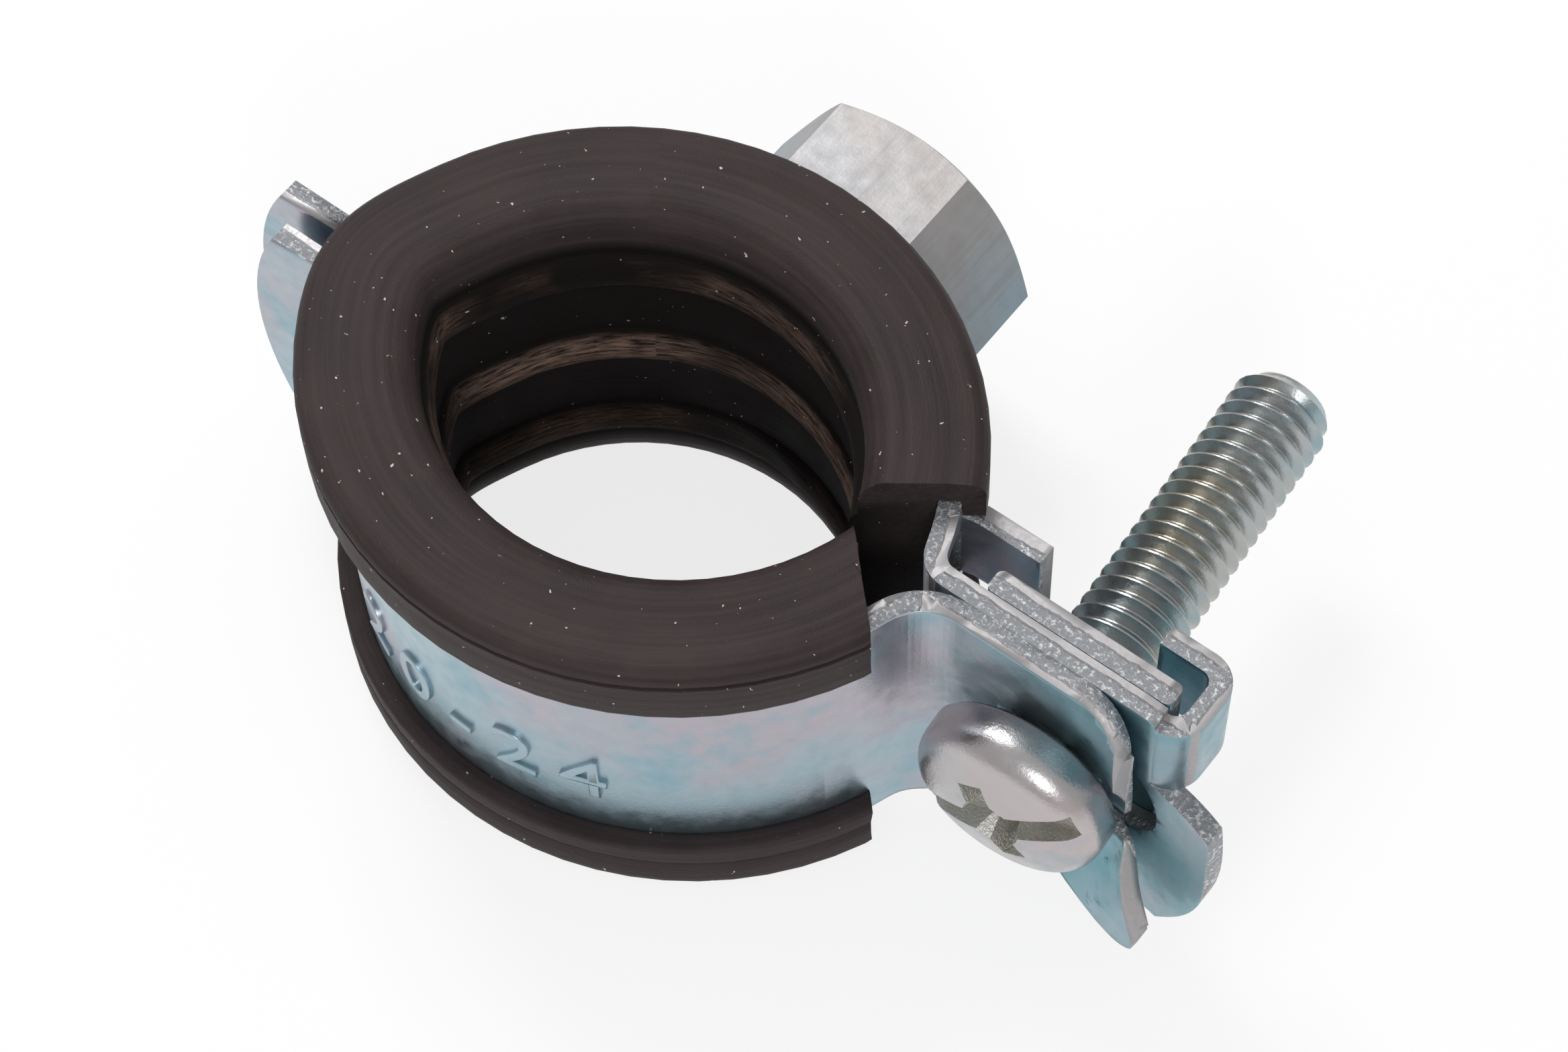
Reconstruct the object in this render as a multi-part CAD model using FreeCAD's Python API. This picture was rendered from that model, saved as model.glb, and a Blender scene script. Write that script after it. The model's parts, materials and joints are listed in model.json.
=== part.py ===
import FreeCAD, Part
import math
import os
from collections import namedtuple

# Rubber lined pipe clamp, lying on its side: +Z is the pipe axis, +X points to the
# closing screw, +Y points to the connection nut. All sizes are in millimetres.

Vec = FreeCAD.Vector

# Pipe and ring
PIPE_GRIP_R = 9.7          # the rib crests are formed to this radius about the pipe axis
SHEET = 1.2                # thickness of the sheet
BAND_W = 20.0              # width of the band along the pipe
HalfRing = namedtuple("HalfRing", "x shift mid_r liner_r")
# Each half is centred beyond the pipe axis, so the opening is lens-shaped
BACK = HalfRing(x=0.7, shift=3.2, mid_r=17.8, liner_r=13.2)
FRONT = HalfRing(x=0.1, shift=3.8, mid_r=18.5, liner_r=13.8)

# Rubber liner
LINER_W = 24.0
LIP = 1.25                 # thickness of the lips outside the band
LIP_EDGE_Z = 7.75          # the lips reach over the band down to this height
RIM_ROUND = 0.9
SLOT_PLAY = 0.03           # play between the band and the groove of the liner
RIB_Z = 7.3
RIB_ROUND = 0.8
RIB_STAND = 0.6            # how far a rib stands inside the rims
HINGE_NOTCH_Z = 10.3       # the rims run on outside the leaves above this height
FRONT_END = ((12.0, 2.32), (20.0, -5.78))
BACK_END = ((11.5, 1.14), (20.0, 6.99))

# Hinge: the neck of the front half passes through a window in the back half
LEAF_A_Y = -3.05           # leaf of the back half
LEAF_A_END = 24.7
LEAF_A_ARC_R = 20.5
LEAF_B_Y = -0.65           # leaf of the front half
LEAF_B_END = 26.4
LEAF_B_ARC_R = 19.2
HINGE_BEND_R = 1.2
NECK_Z = 5.0
WINDOW_Z = 5.6
NECK_FROM_Y = -4.2
HEAD_FROM_X = -19.6
WINDOW_TOP_Y = 0.7
WINDOW_END_X = -19.8

# Closing ears
FRONT_EAR_Y = 0.12
FRONT_EAR_END = 31.4
FRONT_BEND_R = 3.5
FRONT_CORNER_R = 3.0
FRONT_FLARE = (7.0, 25.0)  # radius and angle by which the end turns towards the head
KEYHOLE_X = (25.75, 26.75)
KEYHOLE_HALF = 3.35
MOUTH_Z = (-2.3, 0.3)      # the mouth is narrower than the shank
SEAT_R = 5.75              # coined seat for the screw head
SEAT_FLARE = 1.3
BACK_EAR_Y = 1.34
BACK_EAR_END = 37.0
BACK_EAR_ARC_R = 17.2
BACK_BEND_R = 1.5
BACK_FLARE = (16.0, 22.0)
SLOT_X = (25.8, 29.7)
SLOT_HALF = 3.3

# Guides for the nut plate, cut from the back half and bent out
TAB_Y = (4.9, 6.1)
TAB_Z = (3.5, 9.0)
TAB_END_X = 22.0
TAB_LANCE = 2.2            # length of the opening that the tab was bent out of
HOOK_Z = (3.6, 9.4)
HOOK_LEG_X = 33.5
HOOK_BACK_Y = 5.55
HOOK_END_X = 29.6
HOOK_BEND_R = 1.3

# Nut plate and screw
PLATE_X = (20.9, 32.2)
PLATE_Y = (1.98, 3.38)
SCREW_R = 2.95
SCREW_PLAY = 0.05
SCREW_AT = (25.94, -0.75)
SCREW_TILT = 3.9
SCREW_LENGTH = 26.9
HEAD_R = 5.5
HEAD_RIM = 1.2
HEAD_H = 3.7
RECESS_W = 1.3
RECESS_DEPTH = 1.9

# Connection nut
NUT_AF = 15.0
NUT_TOP_Y = 24.0
NUT_FACE_R = 7.1
NUT_WIDE_R = 4.25          # core of the wide thread
NUT_WIDE_DEPTH = 5.0
NUT_NARROW_R = 3.4         # core of the narrow thread behind it
NUT_SEAT_SINK = 0.6        # the thread starts this far above the band, behind a countersink


class Strip:
    """Centre line of a bent sheet, drawn on the XY plane with straight runs and bends."""

    def __init__(self, x, y, heading):
        self.point = Vec(x, y, 0)
        self.heading = math.radians(heading)
        self.left = []
        self.right = []

    def normal(self):
        return Vec(-math.sin(self.heading), math.cos(self.heading), 0)

    def run(self, length):
        """Go straight on for a length."""
        side = self.normal() * (SHEET / 2)
        start = self.point
        self.point = start + Vec(math.cos(self.heading), math.sin(self.heading), 0) * length
        self.left.append(Part.makeLine(start + side, self.point + side))
        self.right.append(Part.makeLine(start - side, self.point - side))
        return self

    def bend(self, radius, degrees):
        """Turn by an angle on a centre line radius; a positive angle turns left."""
        turn = math.copysign(1.0, degrees)
        centre = self.point + self.normal() * (radius * turn)
        first = self.heading
        last = first + math.radians(degrees)

        def edge(r):
            spots = []
            for heading in (first, (first + last) / 2, last):
                out = Vec(math.sin(heading), -math.cos(heading), 0) * turn
                spots.append(centre + out * r)
            return Part.Arc(*spots).toShape()

        self.left.append(edge(radius - turn * SHEET / 2))
        self.right.append(edge(radius + turn * SHEET / 2))
        self.heading = last
        self.point = centre + Vec(math.sin(last), -math.cos(last), 0) * (radius * turn)
        return self

    def solid(self, z_low, z_high):
        """Give the sheet its thickness and its height along the pipe."""
        start = Part.makeLine(self.left[0].Vertexes[0].Point, self.right[0].Vertexes[0].Point)
        end = Part.makeLine(self.left[-1].Vertexes[-1].Point, self.right[-1].Vertexes[-1].Point)
        edges = self.left + [end] + self.right + [start]
        wire = Part.Wire(Part.__sortEdges__(edges))
        face = Part.Face(wire)
        face.translate(Vec(0, 0, z_low))
        return face.extrude(Vec(0, 0, z_high - z_low))


def box(x_range, y_range, z_range):
    """A box between three pairs of limits."""
    size = [high - low for low, high in (x_range, y_range, z_range)]
    return Part.makeBox(*size, Vec(x_range[0], y_range[0], z_range[0]))


def pin(x, z, radius, y_range):
    """A cylinder along Y."""
    return Part.makeCylinder(radius, y_range[1] - y_range[0], Vec(x, y_range[0], z), Vec(0, 1, 0))


def slot(x_range, half, y_range):
    """A round-ended slot tool that cuts along Y; the range runs between the end centres."""
    tool = box(x_range, y_range, (-half, half))
    for x in x_range:
        tool = tool.fuse(pin(x, 0, half, y_range))
    return tool


def prism(points, z_range):
    """An upright prism over a polygon on the XY plane."""
    corners = [Vec(x, y, z_range[0]) for x, y in points]
    corners.append(corners[0])
    return Part.Face(Part.makePolygon(corners)).extrude(Vec(0, 0, z_range[1] - z_range[0]))


def half_ring(half, leaf_y, leaf_end, ear_y, ear_end, ear_r, flare):
    """One half of the band with its hinge leaf and its ear, open side towards -Y."""
    reach = half.mid_r
    hinge_sine = (leaf_y + HINGE_BEND_R + half.shift) / (reach + HINGE_BEND_R)
    hinge_angle = 180 - math.degrees(math.asin(hinge_sine))
    ear_angle = math.degrees(math.asin((ear_y + ear_r + half.shift) / (reach + ear_r)))
    hinge_x = half.x + (reach + HINGE_BEND_R) * math.cos(math.radians(hinge_angle))
    ear_x = half.x + (reach + ear_r) * math.cos(math.radians(ear_angle))
    flare_r, flare_angle = flare
    strip = Strip(-leaf_end, leaf_y, 0)
    strip.run(leaf_end + hinge_x)
    strip.bend(HINGE_BEND_R, hinge_angle - 90)
    strip.bend(reach, ear_angle - hinge_angle)
    strip.bend(ear_r, 90 - ear_angle)
    strip.run(ear_end - ear_x - flare_r * math.sin(math.radians(abs(flare_angle))))
    strip.bend(flare_r, -flare_angle)
    return strip.solid(-BAND_W / 2, BAND_W / 2)


def ring_core(half, side):
    """Everything inside the middle of the sheet of one half; side is the sign of its Y."""
    return Part.makeCylinder(half.mid_r, 60, Vec(half.x, -side * half.shift, -30))


def round_end(half, x_tip, arc_r, y_mid):
    """Trim a leaf or an ear to a convex end; the sign of x_tip tells the side."""
    side = math.copysign(1.0, x_tip)
    corner = abs(x_tip) - (arc_r - math.sqrt(arc_r ** 2 - (BAND_W / 2) ** 2)) - 0.01
    x_range = sorted((side * corner, side * (abs(x_tip) + 1)))
    y_range = (y_mid - 3 * SHEET, y_mid + SHEET)
    keep = pin(x_tip - side * arc_r, 0, arc_r, y_range)
    return half.cut(box(x_range, y_range, (-BAND_W, BAND_W)).cut(keep))


def both_sides(x_range, y_range, z_from):
    """Two boxes above and below the middle, from a height to beyond the band edge."""
    upper = box(x_range, y_range, (z_from, BAND_W))
    lower = box(x_range, y_range, (-BAND_W, -z_from))
    return upper.fuse(lower)


def make_band_back():
    """Back half: leaf A with its window, long ear with a slot, tab and hook."""
    band = half_ring(BACK, LEAF_A_Y, LEAF_A_END, BACK_EAR_Y, BACK_EAR_END, BACK_BEND_R, BACK_FLARE)
    band = round_end(band, -LEAF_A_END, LEAF_A_ARC_R, LEAF_A_Y)
    band = round_end(band, BACK_EAR_END, BACK_EAR_ARC_R, BACK_EAR_Y)
    inside = BACK.x - BACK.mid_r + 3 * SHEET
    window = box((WINDOW_END_X, inside), (LEAF_A_Y - SHEET, WINDOW_TOP_Y), (-WINDOW_Z, WINDOW_Z))
    band = band.cut(window)
    ear_range = (BACK_EAR_Y - 3 * SHEET, BACK_EAR_Y + SHEET)
    band = band.cut(slot(SLOT_X, SLOT_HALF, ear_range))

    # Tab: cut free on three sides, bent out behind the nut plate
    root_x = BACK.x + math.sqrt(BACK.mid_r ** 2 - (TAB_Y[0] + BACK.shift) ** 2)
    opening = box((root_x - SHEET, root_x + 2 * SHEET), (TAB_Y[0] - TAB_LANCE, TAB_Y[0]), TAB_Z)
    band = band.cut(opening)
    tab = box((root_x - SHEET, TAB_END_X), TAB_Y, TAB_Z)
    band = band.fuse(tab.cut(ring_core(BACK, 1)))

    # Hook: the end of the ear is bent back around the end of the nut plate
    leg_start = HOOK_LEG_X - HOOK_BEND_R
    band = band.cut(box((leg_start, 40), ear_range, (HOOK_Z[0], BAND_W)))
    hook = Strip(leg_start - 0.4, BACK_EAR_Y, 0)
    hook.run(0.4)
    hook.bend(HOOK_BEND_R, 90)
    hook.run(HOOK_BACK_Y - BACK_EAR_Y - 2 * HOOK_BEND_R)
    hook.bend(HOOK_BEND_R, 90)
    hook.run(leg_start - HOOK_END_X)
    return band.fuse(hook.solid(*HOOK_Z)).removeSplitter()


def make_band_front():
    """Front half: necked leaf B with a wide head, forked ear with a coined seat."""
    flare = (FRONT_FLARE[0], -FRONT_FLARE[1])
    band = half_ring(FRONT, -LEAF_B_Y, LEAF_B_END, -FRONT_EAR_Y, FRONT_EAR_END, FRONT_BEND_R, flare)
    band = band.mirror(Vec(0, 0, 0), Vec(0, 1, 0))
    band = round_end(band, -LEAF_B_END, LEAF_B_ARC_R, LEAF_B_Y)
    inside = FRONT.x - FRONT.mid_r + 3 * SHEET
    neck = both_sides((HEAD_FROM_X, inside), (NECK_FROM_Y, LEAF_B_Y + SHEET), NECK_Z)
    band = band.cut(neck)
    ear_range = (FRONT_EAR_Y - 3 * SHEET, FRONT_EAR_Y + SHEET)
    band = band.cut(slot(KEYHOLE_X, KEYHOLE_HALF, ear_range))
    band = band.cut(box((KEYHOLE_X[1], FRONT_EAR_END + 1), ear_range, MOUTH_Z))
    corner = FRONT_EAR_END - FRONT_CORNER_R
    half = BAND_W / 2
    for side in (-1, 1):
        z_range = sorted((side * (half - FRONT_CORNER_R), side * (half + 1)))
        tool = box((corner, FRONT_EAR_END + 1), ear_range, z_range)
        round_z = side * (half - FRONT_CORNER_R)
        band = band.cut(tool.cut(pin(corner, round_z, FRONT_CORNER_R, ear_range)))
    seat = Part.makeCone(SEAT_R, SEAT_R + SEAT_FLARE, 1.5, Vec(0, 0.01, 0), Vec(0, -1, 0))
    return band.cut(along_screw(seat)).removeSplitter()


def liner_section(half_ring_size):
    """Section of the liner in radius and height: C-shaped, open outwards, three ribs inside."""
    half = LINER_W / 2
    low = half_ring_size.liner_r
    band_in = half_ring_size.mid_r - SHEET / 2
    band_out = half_ring_size.mid_r + SHEET / 2
    high = band_out + LIP
    soft = RIM_ROUND * (1 - math.sqrt(0.5))

    def at(r, z):
        return Vec(r, 0, z)

    edges = []
    for side in (1, -1):
        top = side * half
        edges.append(Part.makeLine(at(low, 0), at(low, top - side * RIM_ROUND)))
        edges.append(Part.Arc(at(low, top - side * RIM_ROUND), at(low + soft, top - side * soft),
                              at(low + RIM_ROUND, top)).toShape())
        edges.append(Part.makeLine(at(low + RIM_ROUND, top), at(high - RIM_ROUND, top)))
        edges.append(Part.Arc(at(high - RIM_ROUND, top), at(high - soft, top - side * soft),
                              at(high, top - side * RIM_ROUND)).toShape())
        edges.append(Part.makeLine(at(high, top - side * RIM_ROUND), at(high, side * LIP_EDGE_Z)))
    edges.append(Part.makeLine(at(high, LIP_EDGE_Z), at(high, -LIP_EDGE_Z)))
    outline = Part.Face(Part.Wire(Part.__sortEdges__(edges)))

    def block(r_low, r_high, z_half):
        spots = [at(r_low, -z_half), at(r_high, -z_half), at(r_high, z_half), at(r_low, z_half)]
        return Part.Face(Part.makePolygon(spots + spots[:1]))

    groove = block(band_in - SLOT_PLAY, band_out + SLOT_PLAY, BAND_W / 2 + SLOT_PLAY)
    mouth = block(half_ring_size.mid_r, high + 1, LIP_EDGE_Z)
    section = outline.cut(groove).cut(mouth)
    for z in (-RIB_Z, 0, RIB_Z):
        crest = low - RIB_STAND + RIB_ROUND
        rib = Part.Wire(Part.makeCircle(RIB_ROUND, at(crest, z), Vec(0, 1, 0)))
        section = section.fuse(Part.Face(rib))
    return section


def half_liner(half, side, room):
    """The liner along one half, kept to its room on the XY plane."""
    ring = liner_section(half).revolve(Vec(0, 0, 0), Vec(0, 0, 1), 360)
    ring.translate(Vec(half.x, -side * half.shift, 0))
    return ring.common(prism(room, (-LINER_W, LINER_W)))


def make_liner(band_back, band_front):
    """One rubber strip for both halves, joined at the hinge, cut off at the ears."""
    reach = 30
    back = half_liner(BACK, 1, [(-reach, 0), (11, 0), *BACK_END, (20, reach), (-reach, reach)])
    front = half_liner(FRONT, -1, [(-reach, -reach), (20, -reach), *FRONT_END[::-1], (9, 0), (-reach, 0)])
    liner = back.fuse(front)
    notch_x = BACK.x - BACK.mid_r + SHEET
    notch = box((-reach, notch_x), (-5.6, 1.2), (-HINGE_NOTCH_Z, HINGE_NOTCH_Z))
    liner = liner.cut(notch)
    root_x = BACK.x + math.sqrt(BACK.mid_r ** 2 - (TAB_Y[0] + BACK.shift) ** 2)
    tab_room = box((root_x - 2 * SHEET, TAB_END_X), (TAB_Y[0] - 0.1, TAB_Y[1] + 0.1),
                   (TAB_Z[0] - 0.1, TAB_Z[1] + 0.1))
    liner = liner.cut(tab_room).cut(band_back).cut(band_front)
    pipe = Part.makeCylinder(PIPE_GRIP_R, 60, Vec(0, 0, -30))
    liner = liner.cut(pipe).removeSplitter()
    return max(liner.Solids, key=lambda solid: solid.Volume)


def make_nut():
    """Hexagonal connection nut with a saddle that sits on the back of the band."""
    radius = NUT_AF / math.sqrt(3)
    band_out = BACK.mid_r + SHEET / 2
    low = band_out - BACK.shift - 2.5
    corners = []
    for step in range(7):
        angle = math.radians(60 * step)
        corners.append(Vec(radius * math.cos(angle), low, radius * math.sin(angle)))
    nut = Part.Face(Part.makePolygon(corners)).extrude(Vec(0, NUT_TOP_Y - low, 0))
    slope = math.tan(math.radians(60))
    cone_h = 12.0
    cone = Part.makeCone(NUT_FACE_R + cone_h * slope, NUT_FACE_R, cone_h,
                         Vec(0, NUT_TOP_Y - cone_h, 0), Vec(0, 1, 0))
    nut = nut.common(cone)
    saddle = Part.makeCylinder(band_out + 0.005, 60, Vec(BACK.x, -BACK.shift, -30))
    nut = nut.cut(saddle)
    nut = nut.cut(pin(0, 0, NUT_WIDE_R, (NUT_TOP_Y - NUT_WIDE_DEPTH, NUT_TOP_Y + 1)))
    nut = nut.cut(pin(0, 0, NUT_NARROW_R, (low - 1, NUT_TOP_Y)))
    lead_in = Part.makeCone(NUT_WIDE_R, NUT_WIDE_R + 0.8, 0.8, Vec(0, NUT_TOP_Y - 0.8, 0),
                            Vec(0, 1, 0))
    sink_top = band_out - BACK.shift + NUT_SEAT_SINK
    sink_h = sink_top - low
    sink = Part.makeCone(NUT_NARROW_R + sink_h, NUT_NARROW_R, sink_h, Vec(0, low, 0), Vec(0, 1, 0))
    return nut.cut(lead_in).cut(sink)


def along_screw(shape):
    """Move a shape drawn along +Y from the head seat onto the tilted screw axis."""
    shape.rotate(Vec(0, 0, 0), Vec(0, 0, 1), SCREW_TILT)
    shape.translate(Vec(SCREW_AT[0], SCREW_AT[1], 0))
    return shape


def make_nut_plate():
    """Loose plate behind the back ear that takes the closing screw."""
    plate = box(PLATE_X, PLATE_Y, (-BAND_W / 2, BAND_W / 2))
    upright = [edge for edge in plate.Edges if abs(edge.Vertexes[0].Z - edge.Vertexes[1].Z) > 1]
    plate = plate.makeFillet(0.4, upright)
    bore = Part.makeCylinder(SCREW_R + SCREW_PLAY, 12, Vec(0, -2, 0), Vec(0, 1, 0))
    return plate.cut(along_screw(bore))


def make_screw():
    """Pan-head screw; the axis leans slightly towards the open end of the fork."""
    dome_mid = Vec(HEAD_R * 0.62, -HEAD_H + 0.62, 0)
    profile = [
        Part.makeLine(Vec(0, 0, 0), Vec(HEAD_R, 0, 0)),
        Part.makeLine(Vec(HEAD_R, 0, 0), Vec(HEAD_R, -HEAD_RIM, 0)),
        Part.Arc(Vec(HEAD_R, -HEAD_RIM, 0), dome_mid, Vec(0, -HEAD_H, 0)).toShape(),
        Part.makeLine(Vec(0, -HEAD_H, 0), Vec(0, 0, 0)),
    ]
    head = Part.Face(Part.Wire(Part.__sortEdges__(profile)))
    head = head.revolve(Vec(0, 0, 0), Vec(0, 1, 0), 360)
    shank = Part.makeCylinder(SCREW_R, SCREW_LENGTH, Vec(0, 0, 0), Vec(0, 1, 0))
    tip = [edge for edge in shank.Edges if edge.CenterOfMass.y > SCREW_LENGTH - 0.01]
    shank = shank.makeChamfer(0.5, tip)
    screw = head.fuse(shank)
    floor = -HEAD_H + RECESS_DEPTH
    half_w = RECESS_W / 2
    slit = box((-HEAD_R, HEAD_R), (-HEAD_H - 1, floor + 0.5), (-half_w, half_w))
    cross = box((-half_w, half_w), (-HEAD_H - 1, floor), (-2.9, 2.9))
    return along_screw(screw.cut(slit).cut(cross))


def main():
    """Build every piece and write one file for each."""
    os.makedirs("parts", exist_ok=True)
    band_back = make_band_back()
    band_front = make_band_front()
    pieces = {
        "band_back": band_back,
        "band_front": band_front,
        "liner": make_liner(band_back, band_front),
        "connection_nut": make_nut(),
        "nut_plate": make_nut_plate(),
        "screw": make_screw(),
    }
    for name, shape in pieces.items():
        shape.exportStep("parts/" + name + ".step")


main()
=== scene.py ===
# Looks of a rubber lined pipe clamp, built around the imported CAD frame.
# Lengths in the geometry code are in millimetres and become metres when a mesh is made.

import json
import logging
import math
from dataclasses import dataclass
from enum import Enum
from typing import Sequence

import bmesh
import bpy
from mathutils import Matrix, Vector, noise
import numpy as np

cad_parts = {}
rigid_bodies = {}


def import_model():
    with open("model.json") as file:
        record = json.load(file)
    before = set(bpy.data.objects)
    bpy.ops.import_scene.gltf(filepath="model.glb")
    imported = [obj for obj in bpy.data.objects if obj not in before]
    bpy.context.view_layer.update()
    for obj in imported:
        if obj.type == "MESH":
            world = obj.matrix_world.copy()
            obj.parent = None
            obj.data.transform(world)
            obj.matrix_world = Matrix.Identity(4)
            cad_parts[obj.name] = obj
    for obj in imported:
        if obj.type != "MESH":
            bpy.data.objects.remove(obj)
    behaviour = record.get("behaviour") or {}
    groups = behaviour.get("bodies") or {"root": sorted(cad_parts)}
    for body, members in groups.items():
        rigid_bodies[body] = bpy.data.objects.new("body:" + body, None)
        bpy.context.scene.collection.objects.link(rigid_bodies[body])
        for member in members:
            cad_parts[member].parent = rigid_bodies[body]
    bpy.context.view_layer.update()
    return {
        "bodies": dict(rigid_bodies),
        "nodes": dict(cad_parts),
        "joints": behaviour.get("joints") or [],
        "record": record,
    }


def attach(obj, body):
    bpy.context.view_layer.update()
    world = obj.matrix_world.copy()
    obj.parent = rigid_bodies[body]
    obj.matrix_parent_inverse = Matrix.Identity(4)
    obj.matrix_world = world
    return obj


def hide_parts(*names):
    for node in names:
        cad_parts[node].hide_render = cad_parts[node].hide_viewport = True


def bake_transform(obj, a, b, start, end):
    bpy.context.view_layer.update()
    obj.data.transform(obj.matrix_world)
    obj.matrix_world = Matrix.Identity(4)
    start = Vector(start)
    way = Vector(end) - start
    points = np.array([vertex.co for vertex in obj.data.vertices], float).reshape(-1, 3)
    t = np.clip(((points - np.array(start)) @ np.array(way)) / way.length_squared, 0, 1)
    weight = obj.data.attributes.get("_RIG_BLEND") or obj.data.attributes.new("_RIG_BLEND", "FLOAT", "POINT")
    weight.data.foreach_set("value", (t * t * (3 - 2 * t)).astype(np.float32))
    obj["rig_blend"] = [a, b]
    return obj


BMesh = bmesh.types.BMesh
Material = bpy.types.Material
Socket = bpy.types.NodeSocket
Colour = tuple[float, float, float]
Spots = list[tuple[float, float]]
Station = tuple[Vector, Vector]
Numbers = tuple[float, ...]

LOG = logging.getLogger("pipe_clamp")

MM = 0.001
SHEET = 1.2
PIPE_GRIP_R = 9.7
ALONG_X = Vector((1.0, 0.0, 0.0))
ALONG_Y = Vector((0.0, 1.0, 0.0))
ALONG_Z = Vector((0.0, 0.0, 1.0))

# Distance below which points count as one: in a copied solid, after a cut, after rounding
CAD_GAP = 0.002
CUT_GAP = 0.01
SLIVER = 0.004

# Camera, matched to the photo
CAM_TARGET = Vector((6.87, 3.20, 0.0))
CAM_DISTANCE = 209.7
CAM_AZIMUTH = -39.94
CAM_ELEVATION = 59.69
CAM_ROLL = -2.54
CAM_LENS = 89.38
CAM_SENSOR = 36.0
CAM_CLIP = (0.005, 10.0)

# Studio; the floor's size is in metres and its drop keeps it clear of the rubber's rim
FLOOR_Z = -12.0
FLOOR_DROP = 0.02
FLOOR_SIZE = 0.9
FLOOR_COLOUR = (0.93, 0.93, 0.93, 1.0)
FLOOR_ROUGHNESS = 0.9
FLOOR_GLOW = 0.80
SKY_COLOUR = (1.0, 1.0, 1.0, 1.0)
SKY_STRENGTH = 0.55
LIGHT_AIM = Vector((5.0, 0.0, 0.0))


class Body(Enum):
    """Moving bodies of the clamp; the value is the name in the frame."""

    BACK = "back_half"
    FRONT = "front_half"
    PLATE = "plate"
    SCREW = "closing_screw"


class Axis(Enum):
    """Axes that a surface can change along; the value is the socket's name."""

    X = "X"
    Z = "Z"


class Operation(Enum):
    """Sums that the surfaces use; the value is the node's own name for each."""

    ADD = "ADD"
    MULTIPLY = "MULTIPLY"
    MAXIMUM = "MAXIMUM"


@dataclass(frozen=True)
class Finish:
    """Numbers of one procedural surface.

    Args:
        base: main colour, linear RGB.
        second: colour that clouds mix in.
        third: colour of the finer patches.
        metallic: metallic weight.
        rough: low and high roughness.
        bump: strength of the fine relief.
    """

    base: Colour
    second: Colour
    third: Colour
    metallic: float
    rough: tuple[float, float]
    bump: float


@dataclass(frozen=True)
class PaintedReflection:
    """Painted reflection: a second colour over the plating that grows to its weight along one axis, in
    metres.
    """

    axis: Axis
    start: float
    full: float
    weight: float
    colour: Colour


# Painted reflection: the plating turns dark teal towards the ears.
EAR_PAINTED_REFLECTION = PaintedReflection(Axis.X, 0.0195, 0.0265, 0.75, (0.13, 0.33, 0.38))
# Painted reflection: the nut turns blue towards its lower side.
NUT_PAINTED_REFLECTION = PaintedReflection(Axis.Z, 0.0065, -0.0015, 0.85, (0.28, 0.40, 0.47))
SHEET_FINISH = Finish((0.35, 0.47, 0.53), (0.46, 0.43, 0.48), (0.24, 0.43, 0.50), 0.92, (0.26, 0.42), 0.05)
EDGE_FINISH = Finish((0.44, 0.45, 0.47), (0.42, 0.405, 0.41), (0.33, 0.34, 0.36), 0.85, (0.42, 0.64), 0.9)
NUT_FINISH = Finish((0.365, 0.345, 0.337), (0.34, 0.34, 0.35), (0.33, 0.305, 0.295),
                    0.88, (0.44, 0.56), 0.03)
SCREW_FINISH = Finish((0.42, 0.44, 0.44), (0.44, 0.41, 0.34), (0.27, 0.40, 0.44), 0.95, (0.20, 0.34), 0.06)
HEAD_FINISH = Finish((0.50, 0.51, 0.52), (0.52, 0.46, 0.46), (0.36, 0.42, 0.46), 0.95, (0.20, 0.36), 0.08)
# Plating of the recess with painted highlights: its colour is lighter than the head's, and its light patches
# stand in for highlights.
RECESS_PLATING_AND_HIGHLIGHTS = Finish((0.58, 0.57, 0.53), (0.44, 0.42, 0.38), (0.72, 0.71, 0.67), 0.80, (0.22, 0.42), 0.40)
RUBBER_FINISH = Finish((0.0285, 0.0208, 0.0205), (0.054, 0.0400, 0.0395), (0.30, 0.20, 0.155),
                       0.0, (0.48, 0.64), 0.20)

# Further numbers of the surfaces; the reliefs are heights in metres
NOISE_SPREAD = (0.3, 0.7)
ZINC_RELIEF = 0.0004
TORN_RELIEF = 0.00018
RUBBER_RELIEF = 0.0003
BRUSH_SCALE = (3000.0, 160.0, 3000.0)
BRUSH_COLOUR = (0.25, 0.23, 0.22)
# Painted glints on the torn strip of the cut edges
PAINTED_GLINT_COLOUR = (0.84, 0.85, 0.86)
# Painted shade: the rubber in the bore turns near black.
BORE_PAINTED_SHADE = (0.0085, 0.0064, 0.006)
INSIDE_ROUGHER = 0.32
DUST_COLOUR = (0.55, 0.52, 0.50)
RUBBER_SPECULAR = 0.13


@dataclass(frozen=True)
class Zone:
    """Stretch over which a change grows from nothing to its full size, in millimetres."""

    start: float
    width: float

    def share(self, value: float) -> float:
        """Share of the change at a place, from 0 to 1."""
        return min(1.0, max(0.0, (value - self.start) / self.width))


def ease(share: float) -> float:
    """Let a share leave 0 and reach 1 without a kink."""
    return share * share * (3 - 2 * share)


@dataclass(frozen=True)
class HalfRing:
    """Centre and middle radius of one half of the band, in millimetres."""

    x: float
    y: float
    mid_r: float

    def at(self, degrees: float) -> Station:
        """Point on the middle of the sheet and the outward direction there.

        Args:
            degrees: angle about the centre, from +X towards +Y.

        Returns:
            The point and the unit direction.
        """
        turn = math.radians(degrees)
        out = Vector((math.cos(turn), math.sin(turn), 0.0))
        return Vector((self.x, self.y, 0.0)) + out * self.mid_r, out

    def stations(self, low: float, high: float, step: float) -> list[Station]:
        """Evenly spaced stations between two angles, at least a step apart; all in degrees."""
        count = int((high - low) / step)
        return [self.at(low + (high - low) * index / count) for index in range(count + 1)]

    def beyond(self, point: Vector) -> float:
        """How far a point lies outside the middle of the sheet."""
        return math.hypot(point.x - self.x, point.y - self.y) - self.mid_r


BACK_RING = HalfRing(0.7, -3.2, 17.8)
FRONT_RING = HalfRing(0.1, 3.8, 18.5)


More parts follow.
